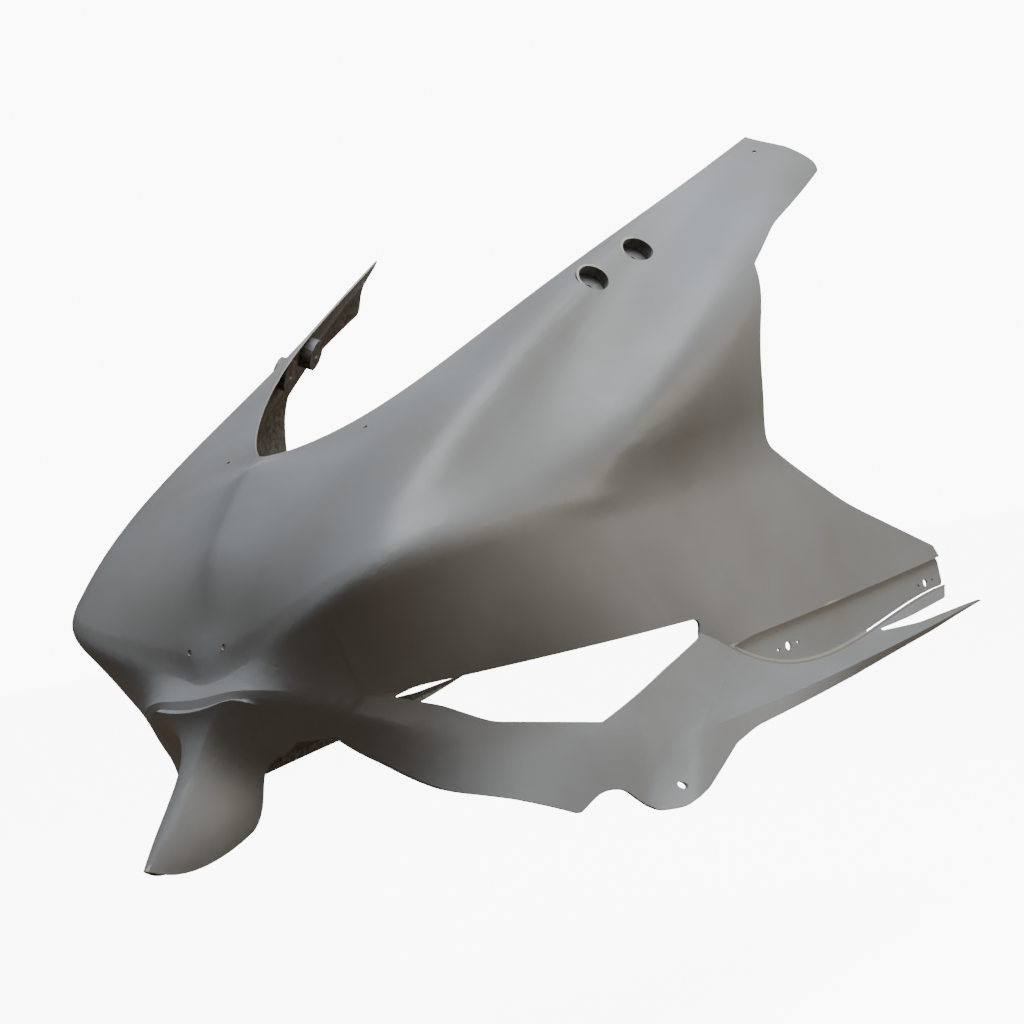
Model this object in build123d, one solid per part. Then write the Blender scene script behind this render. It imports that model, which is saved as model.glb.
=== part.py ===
from build123d import *
import os
from math import comb
import numpy as np

# Upper fairing of a race motorcycle: one moulded glass-fibre shell, in millimetres.
# X is to the rider's left, Y runs to the back and Z is up. The origin lies between the two nose stay holes.

# Moulded wall
WALL = 2.2
JOGGLE_DEPTH = 5.0
JOGGLE_LIP = 2.0

# Character lines of the left half, each from the nose to the back: half width, back, up
SCREEN_EDGE = [(0, 115, 153), (91, 207, 191), (162, 347, 269), (210, 484, 336), (253, 635, 408), (293, 794, 471),
               (312, 842, 434), (323, 873, 402), (331, 913, 372)]
SHOULDER = [(0, 28, 48), (103, 52, 88), (184, 126, 134), (202, 243, 178), (236, 367, 220), (312, 498, 255),
            (321, 565, 253), (326, 649, 253), (331, 828, 252)]
CHEEK_CREASE = [(0, -13, -30), (72, 1, -4), (168, 10, 33), (213, 76, 55), (232, 169, 63), (246, 266, 62),
                (272, 420, 80), (292, 542, 84), (318, 782, 74)]
VALLEY = [(0, -17, -42), (77, -3, -41), (145, 71, -62), (194, 151, -64), (234, 244, -63), (256, 345, -61),
          (287, 450, -118), (312, 581, -111), (344, 822, -91)]
STRIP_CREASE = [(0, -20, -49), (71, -4, -47), (129, 57, -82), (173, 110, -109), (229, 173, -129), (270, 244, -148),
                (305, 345, -141), (328, 535, -130), (354, 793, -107)]
LOWER_EDGE = [(0, -23, -55), (63, 0, -57), (98, 60, -124), (163, 84, -164), (231, 126, -198), (293, 181, -221),
              (314, 296, -191), (321, 520, -158), (358, 777, -127)]

# Moulded roundings: the share of the panel on either side of a crease that its rounding takes up
CHEEK_ROUNDING = (0.12, 0.16)
NODE_ROUNDING = (0.06, 0.1)
RIDGE_ROUNDING = 0.05

# Beak that hangs from the arch of the lower edge: rows from top to tip, each from the front ridge to the rear edge,
# and the share of the front block's lower edge on which it hangs
BEAK_UPPER = [(11, -33, -78), (17, -22, -81), (24, -6, -88), (36, 20, -98)]
BEAK_MIDDLE = [(9, -60, -115), (16, -44, -117), (20, -20, -119), (24, 15, -121)]
BEAK_TIP = [(6, -92, -160), (12, -72, -170), (16, -36, -166), (20, 0, -150)]
BEAK_END = 0.31

# Trimmed edges in the side view: back, up and corner radius
SLIT_END = (579, -111)
REAR_OUTLINE = [(628, 432, 0), (669, 362, 12), (550, 299, 150), (497, 258, 5), (475, 178, 120), (490, 88, 25),
                (600, 18, 350), (740, -43, 4), (748, -60, 4), (745, -82, 9), (726, -98, 10), (650, -106, 200),
                (*SLIT_END, 1), (660, -114, 300), (782, -109, 3), (784, -125, 0), (960, -125, 0), (960, 560, 0),
                (628, 560, 0)]
LOWER_OUTLINE = [(960, -86, 0), (674, -126, 300), (500, -142, 400), (330, -155, 100), (296, -163, 30),
                 (240, -189, 40), (212, -198, 25), (198, -197, 6), (186, -175, 9), (170, -171, 25), (145, -184, 4),
                 (112, -162, 60), (86, -147, 40), (66, -118, 60), (40, -88, 8), (24, -86, 0), (24, -420, 0),
                 (960, -420, 0)]
SLOT_OUTLINE = [(58, -62, 2), (80, -59, 20), (350, -57, 6), (347, -73, 8), (285, -91, 60), (199, -120, 7),
                (125, -100, 40), (95, -79, 60)]
STEP_LINE = [(300, -102), (412, -81), (800, -49)]

# Nose stay holes, either side of the ridge
STAY_SPACING = 40.0
STAY_HOLE = 5.0

# Quarter-turn fasteners on the joggled flange, in the side view: a stud hole between two rivet holes
FASTENER_PLACES = [(461, -102), (712, -79)]
STUD_HOLE = 8.0
RIVET_HOLE = 3.4
RIVET_SPACING = 30.0

# Pair of mirror cups below the windscreen edge, in the side view
MIRROR_PLACE = (407, 280)
MIRROR_TILT = 21.5
CUP_SPACING = 70.0
CUP_MOUTH = 30.0
CUP_DEPTH = 13.0
CUP_HOLE = 6.4

# Windscreen screw holes in the plan view, and the hole in the lower tab in the side view
SCREEN_PLACES = [(84, 154), (268, 626)]
SCREEN_HOLE = 4.2
TAB_PLACE = (224, -182)
TAB_HOLE = 6.0

LINES = np.array([SCREEN_EDGE, SHOULDER, CHEEK_CREASE, VALLEY, STRIP_CREASE, LOWER_EDGE], float)
BANDS = [(0, 2), (2, 3), (3, 4), (4, 5)]
CREST_BAND, SIDE_BAND, RECESS_BAND, STRIP_BAND = range(4)
FRONT_BLOCK, REAR_BLOCK = range(2)
NODE_STATION = 5
LAST_STATION = 8
ARCH_COLUMN = 1
REACH = LINES.max()
OTHER_SIDE = np.array([-1, 1, 1])
MITRE_LIMIT = 2.0
NEARLY_PARALLEL = 0.15
DRILL_DEPTH = 6 * WALL


def bernstein(degree, at):
    return np.array([comb(degree, k) * at**k * (1 - at)**(degree - k) for k in range(degree + 1)])


def shared_parameters(grid):
    # One spacing for every line of a block, so that neighbouring patches share their edges
    runs = np.linalg.norm(np.diff(grid, axis=1), axis=2)
    reach = np.concatenate([np.zeros((len(runs), 1)), np.cumsum(runs, axis=1)], axis=1)
    return (reach / reach[:, -1:]).mean(axis=0)


BLOCKS = [(0, NODE_STATION, shared_parameters(LINES[:, :NODE_STATION + 1])),
          (NODE_STATION, LAST_STATION, shared_parameters(LINES[:, NODE_STATION:]))]


def through(points, parameters):
    # Control points of the curve that passes through the points at the parameters, along the first axis
    matrix = np.array([bernstein(len(parameters) - 1, at) for at in parameters])
    return np.tensordot(np.linalg.inv(matrix), points, axes=1)


def stretch(control, start, end):
    # Control points of the stretch of a curve between two parameters, along the first axis
    degree = len(control) - 1
    found = []
    for ends in range(degree + 1):
        points = control
        for at in [start] * (degree - ends) + [end] * ends:
            points = points[:-1] * (1 - at) + points[1:] * at
        found.append(points[0])
    return np.array(found)


def along_rows(net):
    return np.swapaxes(net, 0, 1)


def patch_net(grid, along):
    # Control net of the surface patch that passes through every point of the grid
    rows = through(grid, np.linspace(0, 1, len(grid)))
    return along_rows(through(along_rows(rows), along))


def patch_point(net, across, along):
    return np.einsum("i,j,ijk->k", bernstein(len(net) - 1, across), bernstein(len(net[0]) - 1, along), net)


def patch_normal(net, across, along, step=1e-4):
    down = patch_point(net, across + step, along) - patch_point(net, across - step, along)
    back = patch_point(net, across, along + step) - patch_point(net, across, along - step)
    normal = np.cross(down, back)
    return normal / np.linalg.norm(normal)


def sunk_point(point, normals, depth):
    # Mitred inset: the same depth below every surface that meets at the point
    mitre = np.linalg.lstsq(np.array(normals), np.ones(len(normals)), rcond=NEARLY_PARALLEL)[0]
    mitre *= min(1.0, MITRE_LIMIT / np.linalg.norm(mitre))
    return point - depth * mitre


def sunk_lines(depth):
    normals = {}
    for top, bottom in BANDS:
        for first, last, along in BLOCKS:
            net = patch_net(LINES[top:bottom + 1, first:last + 1], along)
            for line in range(top, bottom + 1):
                for station in range(first, last + 1):
                    across = (line - top) / (bottom - top)
                    normal = patch_normal(net, across, along[station - first])
                    normals.setdefault((line, station), []).append(normal)
                    if station == 0:
                        normals[line, station].append(normal * OTHER_SIDE)
    sunk = LINES.copy()
    for place, found in normals.items():
        sunk[place] = sunk_point(LINES[place], found, depth)
    return sunk


def band_nets(lines):
    # Sharp panels between the character lines
    nets = {}
    for band, (top, bottom) in enumerate(BANDS):
        for block, (first, last, along) in enumerate(BLOCKS):
            nets[band, block] = patch_net(lines[top:bottom + 1, first:last + 1], along)
    return nets


def rounded_rows(crest, side, recess, strip):
    # Panels of one block shortened at the cheek crease, with a rounding in the gap
    above, below = CHEEK_ROUNDING
    short_crest = stretch(crest, 0, 1 - above)
    short_side = stretch(side, below, 1)
    cheek = np.array([short_crest[-1], side[0], short_side[0]])
    return [short_crest, cheek, short_side, recess, strip]


def ridge_net(net):
    # Rounding over the centre line, from the first column of a net to its mirror image
    first, second = net[:, 0], net[:, 1]
    leg = first - second
    share = first[:, :1] / (second - first)[:, :1]
    return np.stack([first * OTHER_SIDE, first + leg * share, first], axis=1)


def rounded_nets(lines):
    # Rows of panels from the windscreen edge down, each as ridge, arch, front, node and rear patches
    nets = band_nets(lines)
    ahead, behind = NODE_ROUNDING
    rows = []
    for front, rear in zip(*[rounded_rows(*[nets[band, block] for band in range(len(BANDS))]) for block in (0, 1)]):
        arch = along_rows(stretch(along_rows(front), RIDGE_ROUNDING, BEAK_END))
        short_front = along_rows(stretch(along_rows(front), BEAK_END, 1 - ahead))
        short_rear = along_rows(stretch(along_rows(rear), behind, 1))
        node = np.stack([short_front[:, -1], rear[:, 0], short_rear[:, 0]], axis=1)
        rows.append([ridge_net(arch), arch, short_front, node, short_rear])
    return rows


def rim_net(outer_edge, inner_edge):
    return np.stack([outer_edge, inner_edge])


def face_of(net):
    return Face.make_bezier_surface([[tuple(point) for point in row] for row in net])


def solid_of(nets):
    return Solid(Shell([face_of(net) for net in nets]))


def mirrored_pair(nets):
    return nets + [net * OTHER_SIDE for net in nets]


def raised_degree(control):
    # The same curve with one more control point
    share = (np.arange(1, len(control)) / len(control))[:, None]
    middle = control[:-1] * share + control[1:] * (1 - share)
    return np.concatenate([control[:1], middle, control[-1:]])


def beak_nets(outer_lip, inner_lip):
    # Tongue under the nose, open at the back, that carries on from the lip of the arch
    rows = [raised_degree(raised_degree(np.array(row, float))) for row in (BEAK_UPPER, BEAK_MIDDLE, BEAK_TIP)]
    across = np.linspace(0, 1, len(rows) + 1)
    along = np.linspace(0, 1, len(outer_lip))
    outer = through(np.array([outer_lip] + rows), across)
    sunk = [[bernstein(len(inner_lip) - 1, at) @ inner_lip for at in along]]
    for row in across[1:]:
        sunk.append([patch_point(outer, row, at) - WALL * patch_normal(outer, row, at) for at in along])
    inner = patch_net(np.array(sunk), along)
    sides = [outer, inner, rim_net(outer[-1], inner[-1]), rim_net(outer[:, -1], inner[:, -1])]
    outer_ridge, inner_ridge = ridge_net(outer), ridge_net(inner)
    ridge = [outer_ridge, inner_ridge, rim_net(outer_ridge[-1], inner_ridge[-1])]
    return ridge, sides


def moulded_skin():
    outer = rounded_nets(LINES)
    inner = rounded_nets(sunk_lines(WALL))
    columns = []
    for column in range(len(outer[0])):
        nets = [row[column] for row in outer + inner]
        nets.append(rim_net(outer[0][column][0], inner[0][column][0]))
        if column > ARCH_COLUMN:
            nets.append(rim_net(outer[-1][column][-1], inner[-1][column][-1]))
        columns.append(nets)
    ridge, arch, front, node, rear = columns
    beak_ridge, beak_side = beak_nets(outer[-1][ARCH_COLUMN][-1], inner[-1][ARCH_COLUMN][-1])
    tail = [rim_net(outer_row[-1][:, -1], inner_row[-1][:, -1]) for outer_row, inner_row in zip(outer, inner)]
    return solid_of(ridge + beak_ridge + mirrored_pair(arch + beak_side + front + node + rear + tail))


def side_panel(outer_depth, inner_depth):
    # Closed slab of the rear side panel between two depths below its outer surface
    outer = band_nets(sunk_lines(outer_depth))[SIDE_BAND, REAR_BLOCK]
    inner = band_nets(sunk_lines(inner_depth))[SIDE_BAND, REAR_BLOCK]
    rims = [rim_net(outer[0], inner[0]), rim_net(outer[-1], inner[-1]),
            rim_net(outer[:, 0], inner[:, 0]), rim_net(outer[:, -1], inner[:, -1])]
    return solid_of([outer, inner] + rims)


def closed_outline(corners):
    points = [(back, up) for back, up, radius in corners]
    radii = [radius for back, up, radius in corners]
    return make_face(FilletPolyline(*points, radius=radii, close=True))


def both_sides(face):
    return extrude(Plane.YZ * face, amount=REACH, both=True)


def left_side(face):
    return extrude(Plane.YZ * face, amount=REACH)


def flange_region():
    # Below the step line and above the raised valley line, open to the back
    valley = band_nets(LINES)[SIDE_BAND, REAR_BLOCK][-1]
    raised = [(back, up + JOGGLE_LIP) for half_width, back, up in valley]
    over_rear, over_front = (raised[-1][0], REACH), (raised[0][0], REACH)
    above_valley = make_face([Bezier(*raised), Polyline(raised[-1], over_rear, over_front, raised[0])])
    under_rear, under_front = (STEP_LINE[-1][0], -REACH), (STEP_LINE[0][0], -REACH)
    under_step = make_face(Polyline(*STEP_LINE, under_rear, under_front, close=True))
    return above_valley & under_step


def joggled_flange(region):
    # Flange set in from the side panel, with the step above it and the sill below it as far as the slit
    step_wall = region - Pos(0, -WALL) * region
    ahead_of_slit = Pos(SLIT_END[0] - WALL, 0) * Rectangle(REACH, 2 * REACH, align=(Align.MAX, Align.CENTER))
    sill_wall = (region - Pos(0, WALL) * region) & ahead_of_slit
    walls = step_wall + sill_wall
    floor = region - walls
    deep_panel = side_panel(0, JOGGLE_DEPTH + WALL)
    floor_panel = side_panel(JOGGLE_DEPTH, JOGGLE_DEPTH + WALL)
    return deep_panel & left_side(walls), floor_panel & left_side(floor)


def first_place(panel, sight_line):
    # First point of a panel on a line of sight, with its outward normal
    hits = panel.find_intersection_points(sight_line)
    point, normal = min(hits, key=lambda hit: (hit[0] - sight_line.position).length)
    return point, normal if normal.dot(sight_line.direction) < 0 else -normal


def crest_place(sight_line):
    return first_place(face_of(band_nets(LINES)[CREST_BAND, FRONT_BLOCK]), sight_line)


def flange_place(back, up):
    flange = band_nets(sunk_lines(JOGGLE_DEPTH))[SIDE_BAND, REAR_BLOCK]
    return first_place(face_of(flange), from_side(back, up))


def from_side(back, up):
    return Axis((REACH, back, up), (-1, 0, 0))


def from_above(half_width, back):
    return Axis((half_width, back, REACH), (0, 0, -1))


def mirror_cups():
    # Solid cups behind the panel and the hollows that open to the outside
    point, normal = crest_place(from_side(*MIRROR_PLACE))
    along = Vector(0, 1, 0).rotate(Axis.X, MIRROR_TILT)
    seat = Plane(point, x_dir=along - Vector(along.dot(normal) / normal.X, 0, 0), z_dir=-normal)
    at_bottom = (Align.CENTER, Align.CENTER, Align.MIN)
    pair = GridLocations(CUP_SPACING, 0, 2, 1)
    cup = Cylinder(CUP_MOUTH / 2 + WALL, CUP_DEPTH + WALL, align=at_bottom)
    hollow = Pos(0, 0, -CUP_DEPTH) * Cylinder(CUP_MOUTH / 2, 2 * CUP_DEPTH, align=at_bottom)
    hole = Cylinder(CUP_HOLE / 2, 2 * CUP_DEPTH, align=at_bottom)
    cups = Compound([seat * place * cup for place in pair])
    hollows = Compound([seat * place * (hollow + hole) for place in pair])
    return cups, hollows


def drill(diameter):
    return Cylinder(diameter / 2, DRILL_DEPTH)


def crest_hole(half_width, back):
    point, normal = crest_place(from_above(half_width, back))
    return Plane(point, z_dir=normal) * drill(SCREEN_HOLE)


def tab_hole(back, up):
    return Plane(origin=(0, back, up), z_dir=(1, 0, 0)) * Cylinder(TAB_HOLE / 2, 2 * REACH)


def fastener_holes(back, up):
    # Stud hole and two rivet holes in line with the step above them
    point, normal = flange_place(back, up)
    rise, run = STEP_LINE[-1][1] - STEP_LINE[-2][1], STEP_LINE[-1][0] - STEP_LINE[-2][0]
    seat = Plane(point, x_dir=(-(run * normal.Y + rise * normal.Z) / normal.X, run, rise), z_dir=normal)
    rivets = [seat * place * drill(RIVET_HOLE) for place in GridLocations(RIVET_SPACING, 0, 2, 1)]
    return [seat * drill(STUD_HOLE)] + rivets


def nose_stay_holes():
    stay_drill = Rot(90, 0, 0) * Cylinder(STAY_HOLE / 2, STAY_SPACING)
    return [Pos(side * STAY_SPACING / 2, 0, 0) * stay_drill for side in (-1, 1)]


def other_side(shape):
    return mirror(shape, Plane.YZ)


skin = moulded_skin()
shell = skin - both_sides(closed_outline(LOWER_OUTLINE)) - both_sides(closed_outline(SLOT_OUTLINE))

# Joggled flange along the lower edge of each side panel
region = flange_region()
recess = side_panel(-WALL / 2, 3 * WALL / 2) & left_side(region)
walls, floor = joggled_flange(region)
shell = shell - recess - other_side(recess)
shell = shell + [walls, floor, other_side(walls), other_side(floor)]
shell = shell - both_sides(closed_outline(REAR_OUTLINE))

# Mirror cups
cups, hollows = mirror_cups()
shell = shell + [cups, other_side(cups)] - [hollows, other_side(hollows)]

# Drilled holes
left_holes = [crest_hole(*place) for place in SCREEN_PLACES]
for place in FASTENER_PLACES:
    left_holes += fastener_holes(*place)
shell = shell - left_holes - [other_side(hole) for hole in left_holes] - tab_hole(*TAB_PLACE)

# The origin lies between the nose stay holes, on the outer surface
stay_point, stay_normal = first_place(skin, Axis((STAY_SPACING / 2, -REACH, 0), (0, 1, 0)))
stay_setback = stay_point.Y
shell = Pos(0, -stay_setback, 0) * shell - nose_stay_holes()

os.makedirs("parts", exist_ok=True)
export_step(shell, "parts/upper_fairing.step")
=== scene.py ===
from math import cos, exp, radians, sin

import bmesh
import bpy
from bpy.props import FloatProperty, FloatVectorProperty, IntProperty, PointerProperty
from bpy.types import Operator, Panel, PropertyGroup
from mathutils import Matrix, Vector
from mathutils.bvhtree import BVHTree
from mathutils.kdtree import KDTree


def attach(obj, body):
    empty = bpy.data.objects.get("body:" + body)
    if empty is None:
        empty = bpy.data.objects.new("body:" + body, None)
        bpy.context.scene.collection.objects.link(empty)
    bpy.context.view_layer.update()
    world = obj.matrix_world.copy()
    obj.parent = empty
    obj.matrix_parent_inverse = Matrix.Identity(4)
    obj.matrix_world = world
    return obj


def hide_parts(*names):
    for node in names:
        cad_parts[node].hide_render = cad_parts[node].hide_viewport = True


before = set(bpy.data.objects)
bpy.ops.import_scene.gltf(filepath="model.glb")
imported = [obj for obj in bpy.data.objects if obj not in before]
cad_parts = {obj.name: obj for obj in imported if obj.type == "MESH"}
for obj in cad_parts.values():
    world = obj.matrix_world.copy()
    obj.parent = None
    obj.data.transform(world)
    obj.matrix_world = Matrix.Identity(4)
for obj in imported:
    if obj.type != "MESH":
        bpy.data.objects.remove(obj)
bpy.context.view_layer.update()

bl_info = {
    "name": "Race fairing dressing",
    "version": (1, 0, 0),
    "blender": (4, 5, 0),
    "location": "3D view, sidebar, Fairing tab",
    "description": "Finishes a moulded upper fairing and sets it on a plain stage",
    "category": "Object",
}

NODE = "upper_fairing"
OUTSIDE, INSIDE, CUT_EDGE = range(3)

# The line of the cheek crease from the nose to the corner behind it, and which way it looks at both ends
CREASE_POINTS = [(0, -0.017, -0.030), (0.072, -0.003, -0.004), (0.168, 0.006, 0.033), (0.213, 0.072, 0.055),
                 (0.232, 0.165, 0.063), (0.246, 0.262, 0.062)]
CREASE_STATIONS = [0, 0.169, 0.384, 0.574, 0.784, 1]
CREASE_FRONT = Vector((0.5, -0.75, 0.4))
CREASE_BACK = Vector((0.8, -0.3, 0.4))
CREASE_SAMPLES = 120

# Where along its line the crease starts and ends, how fast it fades, and how many spreads wide it is at most
CREASE_START = 0.14
CREASE_END = 1.1
CREASE_END_FADE = 4
CREASE_REACH = 5

# How fast the nose ridge rises from its foot and fades at its top, and its lean at both ends in degrees
RIDGE_FOOT_RISE = 2.2
RIDGE_TOP_FADE = 5
RIDGE_FOOT_LEAN = 20
RIDGE_TOP_LEAN = 55

# A probe for the wall behind a face starts and ends at these shares of the wall
PROBE_START = 0.02
PROBE_END = 3

# Tones of the room that lights and is reflected, and the heights between which one turns into the other
ROOM_LOW = (0.13, 0.095, 0.06)
ROOM_HIGH = (0.42, 0.46, 0.52)
ROOM_FROM = -0.6
ROOM_TO = 0.9

FLOOR_DARK = (0.88, 0.88, 0.88)
FLOOR_LIGHT = (0.90, 0.90, 0.90)
WHITE = (1, 1, 1, 1)
CUT_SHADE = 0.75
LIGHT_AIM = (0.05, 0.25, 0.05)
SENSOR_WIDTH = 36.0
LEVEL = radians(90)


class FairingShellSettings(PropertyGroup):
    """Finish of the moulded shell"""

    merge_distance: FloatProperty(
        name="Merge distance", default=0.00002, unit="LENGTH",
        description="Vertices closer than this become one")
    panel_angle: FloatProperty(
        name="Panel angle", default=radians(11), subtype="ANGLE",
        description="Edges of the side panels sharper than this are creases")
    nose_angle: FloatProperty(
        name="Nose angle", default=radians(24), subtype="ANGLE",
        description="Edges of the nose sharper than this are creases")
    nose_length: FloatProperty(
        name="Nose length", default=0.1, unit="LENGTH",
        description="How far back the soft mouldings of the nose reach")
    strip_length: FloatProperty(
        name="Strip length", default=0.34, unit="LENGTH",
        description="How far back the soft mouldings of the lower strip reach")
    strip_height: FloatProperty(
        name="Strip height", default=-0.1, unit="LENGTH",
        description="Top of the soft mouldings of the lower strip")
    rim_angle: FloatProperty(
        name="Rim angle", default=radians(30), subtype="ANGLE",
        description="Edges sharper than this part one finish from the next")
    wall: FloatProperty(
        name="Wall", default=0.0022, unit="LENGTH",
        description="Thickness of the laminate")
    heart_back: FloatProperty(
        name="Heart back", default=0.25, unit="LENGTH",
        description="Front end of the middle line that the inner faces look at")
    heart_up: FloatProperty(
        name="Heart up", default=-0.2, unit="LENGTH",
        description="Height of the middle line that the inner faces look at")
    fine_edge: FloatProperty(
        name="Fine edge", default=0.009, unit="LENGTH",
        description="Edges of the nose longer than this are divided")
    fine_turns: IntProperty(
        name="Fine turns", default=4,
        description="How often long edges of the nose are divided")
    fine_length: FloatProperty(
        name="Fine length", default=0.32, unit="LENGTH",
        description="How far back the nose is divided finely")
    fine_foot: FloatProperty(
        name="Fine foot", default=-0.02, unit="LENGTH",
        description="Height above which the nose is divided finely")
    crease_height: FloatProperty(
        name="Crease height", default=0.0045, unit="LENGTH",
        description="How far the cheek crease is drawn out")
    crease_spread: FloatProperty(
        name="Crease spread", default=0.013, unit="LENGTH",
        description="How far the flanks of the cheek crease reach")
    crease_rounding: FloatProperty(
        name="Crease rounding", default=0.003, unit="LENGTH",
        description="Half the width of the rounded top of the crease")
    ridge_height: FloatProperty(
        name="Ridge height", default=0.017, unit="LENGTH",
        description="How far the nose ridge stands out")
    ridge_spread: FloatProperty(
        name="Ridge spread", default=0.045, unit="LENGTH",
        description="How far the flanks of the nose ridge reach")
    ridge_rounding: FloatProperty(
        name="Ridge rounding", default=0.004, unit="LENGTH",
        description="Half the width of the rounded top of the ridge")
    ridge_foot: FloatProperty(
        name="Ridge foot", default=0.012, unit="LENGTH",
        description="Height at which the nose ridge starts, above the stay holes")
    ridge_top: FloatProperty(
        name="Ridge top", default=0.158, unit="LENGTH",
        description="Height at which the nose ridge ends, at the windscreen edge")
    settle_turns: IntProperty(
        name="Settle turns", default=4,
        description="How often a face is set against its neighbours")
    gel_coat_light: FloatVectorProperty(
        name="Gel-coat light", default=(0.245, 0.250, 0.255), size=3, subtype="COLOR",
        description="Lighter tone of the outer gel-coat")
    gel_coat_dark: FloatVectorProperty(
        name="Gel-coat dark", default=(0.195, 0.188, 0.176), size=3, subtype="COLOR",
        description="Darker tone of the outer gel-coat")
    laminate_light: FloatVectorProperty(
        name="Laminate light", default=(0.16, 0.15, 0.13), size=3, subtype="COLOR",
        description="Strand colour of the raw inner laminate")
    laminate_dark: FloatVectorProperty(
        name="Laminate dark", default=(0.07, 0.064, 0.055), size=3, subtype="COLOR",
        description="Resin colour of the raw inner laminate")
    cut_edge: FloatVectorProperty(
        name="Cut edge", default=(0.50, 0.45, 0.36), size=3, subtype="COLOR",
        description="Colour of the trimmed laminate edge")


class StageSettings(PropertyGroup):
    """Floor, light and camera"""

    floor_height: FloatProperty(
        name="Floor height", default=-0.42, unit="LENGTH",
        description="Height of the floor")
    floor_glow: FloatProperty(
        name="Floor glow", default=9.0,
        description="How far the floor is lit from below, as a light table")
    backdrop: FloatVectorProperty(
        name="Backdrop", default=(10.0, 10.0, 10.0), size=3, soft_max=10.0,
        description="Colour behind the floor")
    floor_size: FloatProperty(
        name="Floor size", default=30.0, unit="LENGTH",
        description="Width of the floor")
    key_power: FloatProperty(
        name="Key power", default=46.0, unit="POWER",
        description="Power of the large top light")
    side_power: FloatProperty(
        name="Side power", default=12.0, unit="POWER",
        description="Power of the side light")
    back_power: FloatProperty(
        name="Back power", default=9.0, unit="POWER",
        description="Power of the weak back light")
    camera_place: FloatVectorProperty(
        name="Camera place", default=(1.0264, -0.9883, 0.0271), size=3, subtype="TRANSLATION",
        description="Where the camera stands")
    camera_turn: FloatProperty(
        name="Camera turn", default=radians(35.35), subtype="ANGLE",
        description="How far round from the front the camera stands")
    camera_rise: FloatProperty(
        name="Camera rise", default=radians(-1.5), subtype="ANGLE",
        description="How far above level the camera stands")
    camera_roll: FloatProperty(
        name="Camera roll", default=radians(-10.8), subtype="ANGLE",
        description="How far the camera is tipped sideways")
    lens: FloatProperty(
        name="Lens", default=60.4,
        description="Focal length in millimetres")


def start_material(name):
    material = bpy.data.materials.new(name)
    material.use_nodes = True
    nodes = material.node_tree.nodes
    return material, nodes, material.node_tree.links, nodes["Principled BSDF"]


def noise(nodes, links, scale, detail):
    texture = nodes.new("ShaderNodeTexNoise")
    texture.inputs["Scale"].default_value = scale
    texture.inputs["Detail"].default_value = detail
    place = nodes.new("ShaderNodeTexCoord")
    links.new(place.outputs["Object"], texture.inputs["Vector"])
    return texture.outputs["Fac"]


def ramp(nodes, links, factor, low, high, low_at=0.3, high_at=0.7):
    node = nodes.new("ShaderNodeValToRGB")
    node.color_ramp.elements[0].position = low_at
    node.color_ramp.elements[1].position = high_at
    node.color_ramp.elements[0].color = (*low, 1)
    node.color_ramp.elements[1].color = (*high, 1)
    links.new(factor, node.inputs["Fac"])
    return node.outputs["Color"]


def spread(nodes, links, factor, low, high):
    node = nodes.new("ShaderNodeMapRange")
    node.inputs["To Min"].default_value = low
    node.inputs["To Max"].default_value = high
    links.new(factor, node.inputs["Value"])
    return node.outputs["Result"]


def bump(nodes, links, height, strength, distance):
    node = nodes.new("ShaderNodeBump")
    node.inputs["Strength"].default_value = strength
    node.inputs["Distance"].default_value = distance
    links.new(height, node.inputs["Height"])
    return node.outputs["Normal"]


def gel_coat(look):
    material, nodes, links, shader = start_material("satin_gel_coat")
    cloud = noise(nodes, links, scale=6, detail=4)
    links.new(ramp(nodes, links, cloud, look.gel_coat_dark, look.gel_coat_light), shader.inputs["Base Color"])
    haze = noise(nodes, links, scale=45, detail=6)
    links.new(spread(nodes, links, haze, low=0.38, high=0.52), shader.inputs["Roughness"])
    pores = noise(nodes, links, scale=900, detail=2)
    links.new(bump(nodes, links, pores, strength=0.05, distance=0.0002), shader.inputs["Normal"])
    shader.inputs["Specular IOR Level"].default_value = 0.5
    return material


def raw_laminate(look):
    material, nodes, links, shader = start_material("raw_laminate")
    strands = noise(nodes, links, scale=160, detail=8)
    tone = ramp(nodes, links, strands, look.laminate_dark, look.laminate_light, low_at=0.4, high_at=0.62)
    links.new(tone, shader.inputs["Base Color"])
    links.new(spread(nodes, links, strands, low=0.45, high=0.7), shader.inputs["Roughness"])
    links.new(bump(nodes, links, strands, strength=0.4, distance=0.0008), shader.inputs["Normal"])
    return material


def cut_laminate(look):
    material, nodes, links, shader = start_material("cut_laminate_edge")
    grain = noise(nodes, links, scale=700, detail=4)
    shade = [channel * CUT_SHADE for channel in look.cut_edge]
    links.new(ramp(nodes, links, grain, shade, look.cut_edge), shader.inputs["Base Color"])
    shader.inputs["Roughness"].default_value = 0.7
    return material


def crease_tree():
    # One smooth curve through the crease's points, as a tree of places along it
    tree = KDTree(CREASE_SAMPLES + 1)
    for index in range(CREASE_SAMPLES + 1):
        at = index / CREASE_SAMPLES
        place = Vector()
        for point, station in zip(CREASE_POINTS, CREASE_STATIONS):
            weight = 1.0
            for other in CREASE_STATIONS:
                if other != station:
                    weight *= (at - other) / (station - other)
            place += weight * Vector(point)
        tree.insert(place, index)
    tree.balance()
    return tree


def copy_of_node(node, name):
    source = bpy.data.objects[node]
    bpy.ops.object.select_all(action="DESELECT")
    source.select_set(True)
    bpy.context.view_layer.objects.active = source
    bpy.ops.object.duplicate()
    piece = bpy.context.view_layer.objects.active
    piece.name = name
    piece.data.name = name
    return piece


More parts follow.
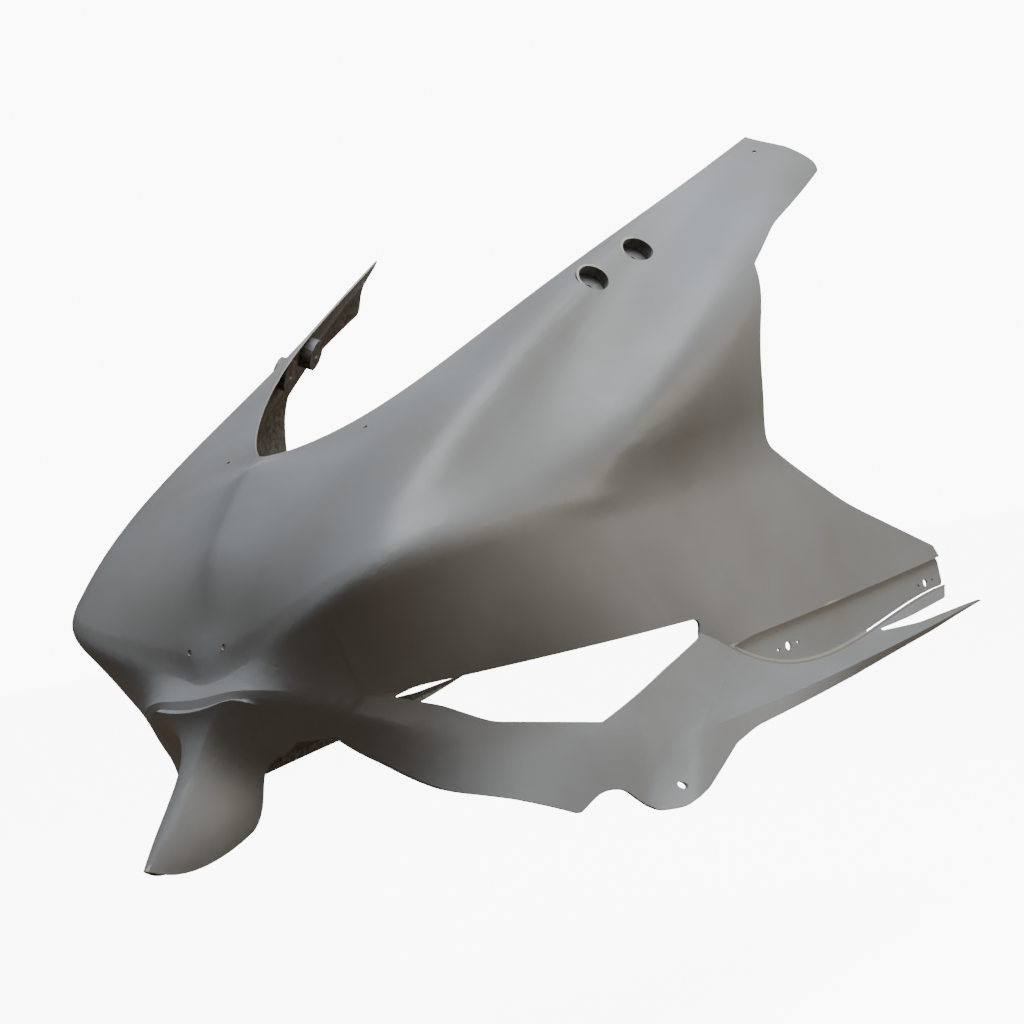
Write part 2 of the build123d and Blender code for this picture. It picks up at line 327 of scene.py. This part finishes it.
class FAIRING_OT_shell(Operator):
    """Dress the moulded shell: gel-coat outside, raw laminate inside, cut edges"""

    bl_idname = "fairing.shell"
    bl_label = "Moulded shell"

    def execute(self, context):
        look = context.scene.fairing_shell
        piece = copy_of_node(NODE, "moulded_shell")
        bpy.ops.object.mode_set(mode="EDIT")
        bpy.ops.mesh.select_all(action="SELECT")
        bpy.ops.mesh.remove_doubles(threshold=look.merge_distance)
        bpy.ops.object.mode_set(mode="OBJECT")
        piece.data.materials.clear()
        for material in (gel_coat(look), raw_laminate(look), cut_laminate(look)):
            piece.data.materials.append(material)
        self.draw_out_folds(piece, look)
        bpy.ops.object.shade_smooth()
        self.sort_faces(piece, look)
        modifier = piece.modifiers.new("even_normals", "WEIGHTED_NORMAL")
        modifier.keep_sharp = True
        bpy.ops.object.modifier_apply(modifier=modifier.name)
        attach(piece, "root")
        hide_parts(NODE)
        return {"FINISHED"}

    def draw_out_folds(self, piece, look):
        # The nose is divided finely along its own curve, then drawn out along its ridge and the cheek crease
        mesh = bmesh.new()
        mesh.from_mesh(piece.data)
        for turn in range(look.fine_turns):
            mesh.normal_update()
            bmesh.ops.subdivide_edges(mesh, edges=self.long_edges(mesh, look), cuts=1, smooth=1.0,
                                      smooth_falloff="LINEAR")
            bmesh.ops.triangulate(mesh, faces=[face for face in mesh.faces if len(face.verts) > 3])
        crease = crease_tree()
        for vertex in mesh.verts:
            vertex.co += self.ridge_offset(vertex.co, look) + self.crease_offset(vertex.co, crease, look)
        mesh.normal_update()
        mesh.to_mesh(piece.data)
        mesh.free()

    def soft_vertices(self, mesh, look):
        soft = set()
        for vertex in mesh.verts:
            if vertex.co.y < look.fine_length and vertex.co.z > look.fine_foot:
                if max(edge.calc_face_angle(0) for edge in vertex.link_edges) < look.nose_angle:
                    soft.add(vertex)
        return soft

    def long_edges(self, mesh, look):
        soft = self.soft_vertices(mesh, look)
        long = [edge for edge in mesh.edges if edge.calc_length() > look.fine_edge]
        return [edge for edge in long if soft.issuperset(edge.verts)]

    def ridge_offset(self, point, look):
        if not look.ridge_foot < point.z < look.ridge_top or point.y > look.fine_length:
            return Vector()
        up = (point.z - look.ridge_foot) / (look.ridge_top - look.ridge_foot)
        swell = min(1, RIDGE_FOOT_RISE * up) * min(1, RIDGE_TOP_FADE * (1 - up))
        swell = swell * swell * (3 - 2 * swell)
        aside = (point.x ** 2 + look.ridge_rounding ** 2) ** 0.5
        lean = radians(RIDGE_FOOT_LEAN + (RIDGE_TOP_LEAN - RIDGE_FOOT_LEAN) * up)
        outward = Vector((0, -cos(lean), sin(lean)))
        return outward * look.ridge_height * swell * exp(-aside / look.ridge_spread)

    def crease_offset(self, point, crease, look):
        index, away = crease.find(Vector((abs(point.x), point.y, point.z)))[1:]
        if away > CREASE_REACH * look.crease_spread:
            return Vector()
        along = index / CREASE_SAMPLES
        swell = min(1, max(0, along - CREASE_START) / CREASE_START)
        swell *= min(1, CREASE_END_FADE * (CREASE_END - along))
        outward = CREASE_FRONT.lerp(CREASE_BACK, along).normalized()
        if point.x < 0:
            outward.x = -outward.x
        away = (away ** 2 + look.crease_rounding ** 2) ** 0.5
        return outward * look.crease_height * swell * exp(-away / look.crease_spread)

    def sort_faces(self, piece, look):
        # A face with a wall behind it is outer or inner skin, any other is a cut edge, and creases stay sharp
        tree = BVHTree.FromObject(piece, bpy.context.evaluated_depsgraph_get())
        mesh = bmesh.new()
        mesh.from_mesh(piece.data)
        for face in mesh.faces:
            face.material_index = self.finish_of(face, tree, look)
        for turn in range(look.settle_turns):
            self.settle(mesh, look.rim_angle)
        for edge in mesh.edges:
            back = max(end.co.y for end in edge.verts)
            up = max(end.co.z for end in edge.verts)
            moulded = back < look.nose_length or (back < look.strip_length and up < look.strip_height)
            edge.smooth = edge.calc_face_angle(0) < (look.nose_angle if moulded else look.panel_angle)
        mesh.to_mesh(piece.data)
        mesh.free()

    def finish_of(self, face, tree, look):
        centre = face.calc_center_median()
        start = centre - face.normal * look.wall * PROBE_START
        wall_behind = tree.ray_cast(start, -face.normal, look.wall * PROBE_END)[0]
        if wall_behind is None:
            return CUT_EDGE
        heart = Vector((0, max(centre.y, look.heart_back), look.heart_up))
        return INSIDE if face.normal.dot(centre - heart) < 0 else OUTSIDE

    def settle(self, mesh, angle):
        # A face takes the finish that most of its smooth neighbours have, by area
        settled = {}
        for face in mesh.faces:
            areas = [0.0, 0.0, 0.0]
            areas[face.material_index] = face.calc_area()
            for edge in face.edges:
                if len(edge.link_faces) == 2 and edge.calc_face_angle() < angle:
                    for beside in edge.link_faces:
                        if beside is not face:
                            areas[beside.material_index] += beside.calc_area()
            settled[face] = areas.index(max(areas))
        for face, finish in settled.items():
            face.material_index = finish


def pale_floor(stage):
    material, nodes, links, shader = start_material("pale_floor")
    cloud = noise(nodes, links, scale=0.7, detail=3)
    links.new(ramp(nodes, links, cloud, FLOOR_DARK, FLOOR_LIGHT), shader.inputs["Base Color"])
    shader.inputs["Roughness"].default_value = 0.9
    shader.inputs["Emission Color"].default_value = WHITE
    shader.inputs["Emission Strength"].default_value = stage.floor_glow
    return material


def studio_world(stage):
    # The fairing reflects a dim room, brown below and pale above, while the camera sees the plain backdrop
    world = bpy.data.worlds.new("studio")
    world.use_nodes = True
    nodes = world.node_tree.nodes
    links = world.node_tree.links
    place = nodes.new("ShaderNodeTexCoord")
    split = nodes.new("ShaderNodeSeparateXYZ")
    links.new(place.outputs["Generated"], split.inputs["Vector"])
    height = spread(nodes, links, split.outputs["Z"], low=0, high=1)
    height.node.inputs["From Min"].default_value = ROOM_FROM
    height.node.inputs["From Max"].default_value = ROOM_TO
    room = ramp(nodes, links, height, ROOM_LOW, ROOM_HIGH, low_at=0.25, high_at=0.95)
    rays = nodes.new("ShaderNodeLightPath")
    seen = nodes.new("ShaderNodeMix")
    seen.data_type = "RGBA"
    links.new(rays.outputs["Is Camera Ray"], seen.inputs["Factor"])
    links.new(room, seen.inputs["A"])
    seen.inputs["B"].default_value = (*stage.backdrop, 1)
    links.new(seen.outputs["Result"], nodes["Background"].inputs["Color"])
    bpy.context.scene.world = world


def area_light(name, place, size, power, colour):
    light = bpy.data.lights.new(name, "AREA")
    light.shape = "DISK"
    light.size = size
    light.energy = power
    light.color = colour
    lamp = bpy.data.objects.new(name, light)
    lamp.location = place
    lamp.rotation_euler = (Vector(LIGHT_AIM) - Vector(place)).to_track_quat("-Z", "Y").to_euler()
    bpy.context.collection.objects.link(lamp)


class FAIRING_OT_stage(Operator):
    """Set the floor, the lights and the camera"""

    bl_idname = "fairing.stage"
    bl_label = "Stage"

    def execute(self, context):
        stage = context.scene.fairing_stage
        bpy.ops.object.select_all(action="DESELECT")
        bpy.ops.mesh.primitive_plane_add(size=stage.floor_size, location=(0, 0, stage.floor_height))
        bpy.ops.object.transform_apply(location=True)
        floor = context.view_layer.objects.active
        floor.name = "floor"
        floor.data.materials.append(pale_floor(stage))
        floor.visible_diffuse = False
        floor.visible_glossy = False
        studio_world(stage)
        area_light("top_light", (0.95, 0.15, 1.75), size=1.4, power=stage.key_power, colour=(0.90, 0.96, 1.0))
        area_light("back_light", (-1.4, 2.2, 1.0), size=1.6, power=stage.back_power, colour=(0.95, 0.97, 1.0))
        area_light("side_light", (2.0, 1.2, 0.25), size=0.9, power=stage.side_power, colour=(1.0, 0.88, 0.70))
        self.set_camera(context, stage)
        return {"FINISHED"}

    def set_camera(self, context, stage):
        turn = Matrix.Rotation(stage.camera_turn, 3, "Z")
        rise = Matrix.Rotation(LEVEL - stage.camera_rise, 3, "X")
        roll = Matrix.Rotation(stage.camera_roll, 3, "Z")
        data = bpy.data.cameras.new("camera")
        data.lens = stage.lens
        data.sensor_width = SENSOR_WIDTH
        camera = bpy.data.objects.new("camera", data)
        camera.matrix_world = Matrix.Translation(stage.camera_place) @ (turn @ rise @ roll).to_4x4()
        context.collection.objects.link(camera)
        context.scene.camera = camera


class FAIRING_PT_panel(Panel):
    """Sizes, colours and steps of the fairing scene"""

    bl_idname = "FAIRING_PT_panel"
    bl_label = "Race fairing"
    bl_space_type = "VIEW_3D"
    bl_region_type = "UI"
    bl_category = "Fairing"

    def draw(self, context):
        for settings, operator in (("fairing_shell", "fairing.shell"), ("fairing_stage", "fairing.stage")):
            group = getattr(context.scene, settings)
            for name in group.__annotations__:
                self.layout.prop(group, name)
            self.layout.operator(operator)


CLASSES = (FairingShellSettings, StageSettings, FAIRING_OT_shell, FAIRING_OT_stage, FAIRING_PT_panel)


def register():
    for item in CLASSES:
        bpy.utils.register_class(item)
    bpy.types.Scene.fairing_shell = PointerProperty(type=FairingShellSettings)
    bpy.types.Scene.fairing_stage = PointerProperty(type=StageSettings)


def unregister():
    del bpy.types.Scene.fairing_stage
    del bpy.types.Scene.fairing_shell
    for item in reversed(CLASSES):
        bpy.utils.unregister_class(item)


def main():
    register()
    bpy.ops.fairing.shell()
    bpy.ops.fairing.stage()


if __name__ == "__main__":
    main()
